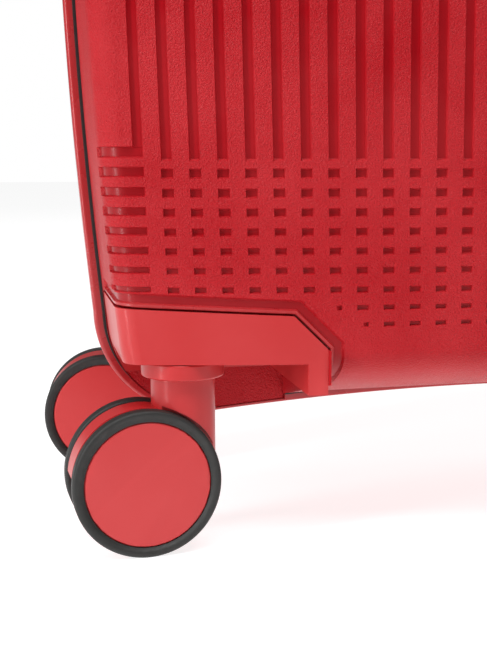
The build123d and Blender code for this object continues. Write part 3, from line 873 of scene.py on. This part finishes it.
# ---- soft inside ----------------------------------------------------------------------
def lining_depth(x, z, end, inset):
    """Depth of the lining below the seam plane, drawn in over the wheel wells."""
    depth = cap_depth(x, z, end, inset) - WALL - LINING_GAP
    if end > 0:
        depth = np.minimum(depth, LINING_FLOOR)
    well = AXIS_Y[end] - HOUSING_DEPTH - WALL - LINING_GAP
    zz = np.where(z > MID_Z, 1e3, z)
    d = housing_distance(x, zz, end)
    t = smooth((d - WALL - 2.2) / 4.0)
    return np.minimum(depth, well + (np.maximum(depth, well) - well) * t)


def wrinkle(x, z, seed):
    """Soft creases of a loosely fitted cloth, in millimetres."""
    out = np.zeros(x.size)
    for k, (a, b) in enumerate(zip(x.ravel(), z.ravel())):
        p = Vector((a * 0.011 + seed, b * 0.007, seed))
        q = Vector((a * 0.035, b * 0.022 + seed, seed * 2.0))
        out[k] = noise.noise(p) * 1.5 + noise.noise(q) * 0.6
    return out.reshape(x.shape)


def lining_face(end, inset, seed, front):
    """Grid of points of the large face of the cloth, with its creases."""
    ref = HALF_W - INSET
    xs = np.linspace(-ref, ref, 151)
    zs = np.concatenate([np.linspace(40.0, 110.0, 45), np.linspace(113.0, 2 * MID_Z - 40.0, 110)])
    gx, gz = np.meshgrid(xs, zs)
    x, z = place(gx, gz, inset)
    depth = lining_depth(x, z, end, inset) - 1.2 - wrinkle(x, z, seed)
    if end > 0:
        over = smooth((z - 492.0) / 12.0) * smooth((100.0 - np.abs(x)) / 12.0)
        depth -= over * np.maximum(depth - BEZEL_CLEAR, 0.0)
    depth = np.maximum(depth, front + 0.5)
    return np.stack([x, end * depth, z], -1)


def clear_lid_parts(points):
    """Keeps the lid's cloth off the finger pocket and the lock."""
    pocket = (np.abs(points[:, 0]) < 38) & (points[:, 1] > -43.0) & (points[:, 2] < 62)
    points[:, 2] = np.where(pocket, np.maximum(points[:, 2], 59.2), points[:, 2])
    lock = smooth((22.0 - np.abs(points[:, 2] - 246.0)) / 6.0) * (points[:, 1] > -44)
    points[:, 0] = np.maximum(points[:, 0], -184.0 + 11.5 * lock - 20 * (lock == 0))


def lining(end, name, seed):
    """Loose cloth tray that follows the inside of a shell, and its welted edge."""
    inset = INSET + WALL + 1.8
    front = 5.0 if end < 0 else RIM_T + 2.0
    face = lining_face(end, inset, seed, front)
    shape = face.shape[:2]
    faces = grid_faces(shape)
    loop = grid_loop(shape)
    points = [face.reshape(-1, 3)]
    base = points[0][loop]
    nx, nz = loop_normals(base, inset)
    previous = loop
    count = len(points[0])
    for t in np.linspace(0.08, 1.0, 12):
        crease = wrinkle(base[:, 0] + base[:, 2], base[:, 1] * 2 + 40 * t, seed + 3) * 0.5 + 0.4
        bulge = np.maximum(crease, 0) * math.sin(math.pi * t)
        y = end * (np.abs(base[:, 1]) * (1 - t) + front * t)
        points.append(inset_ring(base, (nx, nz), bulge, y))
        current = count + np.arange(len(loop))
        faces += bridge(previous, current)
        previous = current
        count += len(loop)
    points = np.concatenate(points)
    if end < 0:
        clear_lid_parts(points)
    piece = make_object(name, points * MM, faces, [MAT["lining"]])
    edge = inset_ring(base[::3], (nx[::3], nz[::3]), 0.8, end * front)
    return piece, tube(name + "_welt", edge, 1.1, MAT["strap"])


def tube(name, points, radius, material):
    """Closed round cord through the points, in millimetres."""
    curve = bpy.data.curves.new(name, "CURVE")
    curve.dimensions = "3D"
    spline = curve.splines.new("POLY")
    spline.points.add(len(points) - 1)
    for target, p in zip(spline.points, points):
        target.co = (p[0] * MM, p[1] * MM, p[2] * MM, 1.0)
    spline.use_cyclic_u = True
    curve.bevel_depth = radius * MM
    curve.bevel_resolution = 2
    curve.materials.append(material)
    piece = bpy.data.objects.new(name, curve)
    bpy.context.scene.collection.objects.link(piece)
    bpy.ops.object.select_all(action="DESELECT")
    piece.select_set(True)
    bpy.context.view_layer.objects.active = piece
    bpy.ops.object.convert(target="MESH")
    piece = bpy.context.view_layer.objects.active
    piece.data.shade_smooth()
    return piece


def strap(name, a, b, width, sag):
    """Flat webbing between two points, sagging a little."""
    a = np.array(a, float)
    b = np.array(b, float)
    run = (b - a) / np.linalg.norm(b - a)
    across = np.cross(run, (0, 1, 0))
    across /= np.linalg.norm(across)
    rows = 40
    verts = []
    for k in range(rows + 1):
        t = k / rows
        middle = a + (b - a) * t + np.array([0, 1, 0]) * sag * math.sin(math.pi * t)
        for u in np.linspace(-0.5, 0.5, 7):
            lift = 0.25 * math.cos(math.pi * u) + 0.12 * math.sin(31 * t + 5 * u)
            verts.append(middle + across * u * width + np.array([0, -lift, 0]))
    faces = []
    for k in range(rows):
        for j in range(6):
            p = k * 7 + j
            faces.append((p, p + 1, p + 8, p + 7))
    piece = make_object(name, np.array(verts) * MM, faces, [MAT["strap"]])
    mod = piece.modifiers.new("thickness", "SOLIDIFY")
    mod.thickness = 1.4 * MM
    piece.data.shade_smooth()
    return piece


def rounded_plate(name, centre, size, radius, material):
    """Moulded plate with rounded corners and softened edges."""
    cx, cy, cz = centre
    sx, sy, sz = size
    ring = []
    for quarter, (qx, qz) in enumerate(((1, 1), (-1, 1), (-1, -1), (1, -1))):
        for k in range(6):
            a = math.radians(90 * quarter + 18 * k)
            x = qx * (sx / 2 - radius) + radius * math.cos(a)
            z = qz * (sz / 2 - radius) + radius * math.sin(a)
            ring.append((x, z))
    verts = []
    for y in (-sy / 2, sy / 2):
        verts += [(cx + p[0], cy + y, cz + p[1]) for p in ring]
    n = len(ring)
    faces = [tuple(range(n)), tuple(range(2 * n - 1, n - 1, -1))]
    faces += [(k, k + n, (k + 1) % n + n, (k + 1) % n) for k in range(n)]
    piece = make_object(name, np.array(verts) * MM, faces, [material])
    mod = piece.modifiers.new("bevel", "BEVEL")
    mod.width = 0.9 * MM
    mod.segments = 3
    mod.limit_method = "ANGLE"
    shade_smooth(piece, 30)
    return piece


def soft_inside():
    """Cloth linings, the crossed packing straps and their buckle."""
    for end, name, body, node, seed in (
        (-1, "lid_lining", "lid", "front_lining", 2.3),
        (1, "rear_lining_cloth", "rear_case", "rear_lining", 7.9),
    ):
        piece, welt = lining(end, name, seed)
        mod = piece.modifiers.new("thickness", "SOLIDIFY")
        mod.thickness = 0.6 * MM
        piece.data.shade_smooth()
        for o in (piece, welt):
            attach(o, body)
        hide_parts(node)
    for k, (sx, sz) in enumerate(((-1, -1), (1, -1), (-1, 1), (1, 1))):
        anchor = (sx * 168, 30, MID_Z + sz * 165)
        middle = (sx * 16, 22, MID_Z + sz * 14)
        belt = strap(f"packing_strap_{k + 1}", anchor, middle, 25, 2.0)
        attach(belt, "rear_case")
    buckle = rounded_plate("packing_buckle", (0, 20, MID_Z), (52, 7, 44), 8, MAT["button"])
    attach(buckle, "rear_case")


soft_inside()


# ---- CAD parts: rounded edges and finished materials ------------------------------------
def finish_cad(node, material, bevel=0.0, angle=35):
    """Procedural material, rounded edges and smooth shading for a CAD piece."""
    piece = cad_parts[node]
    piece.data.materials.clear()
    piece.data.materials.append(MAT[material])
    weld = piece.modifiers.new("weld", "WELD")
    weld.merge_threshold = 1e-6
    if bevel:
        mod = piece.modifiers.new("bevel", "BEVEL")
        mod.width = bevel * MM
        mod.segments = 3
        mod.limit_method = "ANGLE"
        mod.angle_limit = math.radians(angle)
        mod.harden_normals = False
    piece.data.shade_smooth()
    mod = piece.modifiers.new("normals", "WEIGHTED_NORMAL")
    mod.keep_sharp = True


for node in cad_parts:
    if node.startswith("caster_housing"):
        finish_cad(node, "housing", 1.0)
    elif node.startswith("caster_fork"):
        finish_cad(node, "housing", 0.5)
    elif node.startswith("caster_axle"):
        finish_cad(node, "steel", 0.2)
    elif node.startswith("tyre"):
        finish_cad(node, "tyre")
    elif node.startswith("hub"):
        finish_cad(node, "hub")
    elif node.startswith("handle_channel") or "tube" in node:
        finish_cad(node, "aluminium")
    elif node in ("handle_button", "lock_button"):
        finish_cad(node, "button", 0.2)
    elif node.startswith("lock_dial"):
        finish_cad(node, "dial")
    elif node == "rim_seal":
        finish_cad(node, "seal")
    elif node.endswith("lining"):
        finish_cad(node, "lining")
    elif not node.endswith("shell"):
        finish_cad(node, "trim", 0.5)


# ---- studio ------------------------------------------------------------------------------
def area(name, place, aim, width, height, power):
    """Rectangular soft light aimed at a point."""
    light = bpy.data.lights.new(name, "AREA")
    light.shape = "RECTANGLE"
    light.size = width
    light.size_y = height
    light.energy = power
    lamp = bpy.data.objects.new(name, light)
    lamp.location = place
    lamp.rotation_euler = (Vector(aim) - Vector(place)).to_track_quat("-Z", "Y").to_euler()
    bpy.context.scene.collection.objects.link(lamp)


def studio():
    """White paper floor, white surroundings for the camera, dimmer ones for reflections."""
    verts = [(-6, -0.75, 0), (6, -0.75, 0), (6, 8, 0), (-6, 8, 0)]
    n = Nodes("floor_paper")
    n.bsdf.inputs["Base Color"].default_value = (0.55, 0.55, 0.55, 1)
    n.link(n.ramp(n.noise(40.0), 0.3, 0.7, 0.12, 0.17), n.bsdf.inputs["Roughness"])
    n.bsdf.inputs["Specular IOR Level"].default_value = 0.3
    n.bsdf.inputs["Emission Color"].default_value = (1, 1, 1, 1)
    n.bsdf.inputs["Emission Strength"].default_value = 0.82
    floor = make_object("floor", verts, [(0, 1, 2, 3)], [n.material])
    world = bpy.data.worlds.new("studio")
    world.use_nodes = True
    tree = world.node_tree
    back = tree.nodes["Background"]
    back.inputs["Color"].default_value = (1.0, 1.0, 1.0, 1)
    path = tree.nodes.new("ShaderNodeLightPath")
    level = tree.nodes.new("ShaderNodeMapRange")
    level.inputs["To Min"].default_value = 0.14
    level.inputs["To Max"].default_value = 1.0
    tree.links.new(path.outputs["Is Camera Ray"], level.inputs["Value"])
    tree.links.new(level.outputs["Result"], back.inputs["Strength"])
    bpy.context.scene.world = world
    area("strip_left", (-1.15, -0.42, 0.62), (-0.18, -0.07, 0.2), 0.14, 1.5, 12.0)
    area("overhead", (-0.1, -0.9, 1.9), (0.0, 0.0, 0.25), 1.6, 0.7, 27.0)
    area("rear_fill", (0.6, 1.6, 1.7), (0.0, 0.0, 0.25), 1.4, 1.0, 16.0)
    bpy.context.scene.view_settings.view_transform = "Standard"


def camera():
    """Low three-quarter view of the lower front corner."""
    cam = bpy.data.cameras.new("camera")
    cam.sensor_width = 36.0
    cam.lens = 60.92
    cam.clip_start = 0.01
    cam.clip_end = 50.0
    holder = bpy.data.objects.new("camera", cam)
    holder.location = (-0.21094, -0.45526, 0.14325)
    holder.rotation_euler = (math.radians(81.59), math.radians(0.09), math.radians(-11.66))
    bpy.context.scene.collection.objects.link(holder)
    bpy.context.scene.camera = holder


studio()
camera()

bpy.context.view_layer.update()
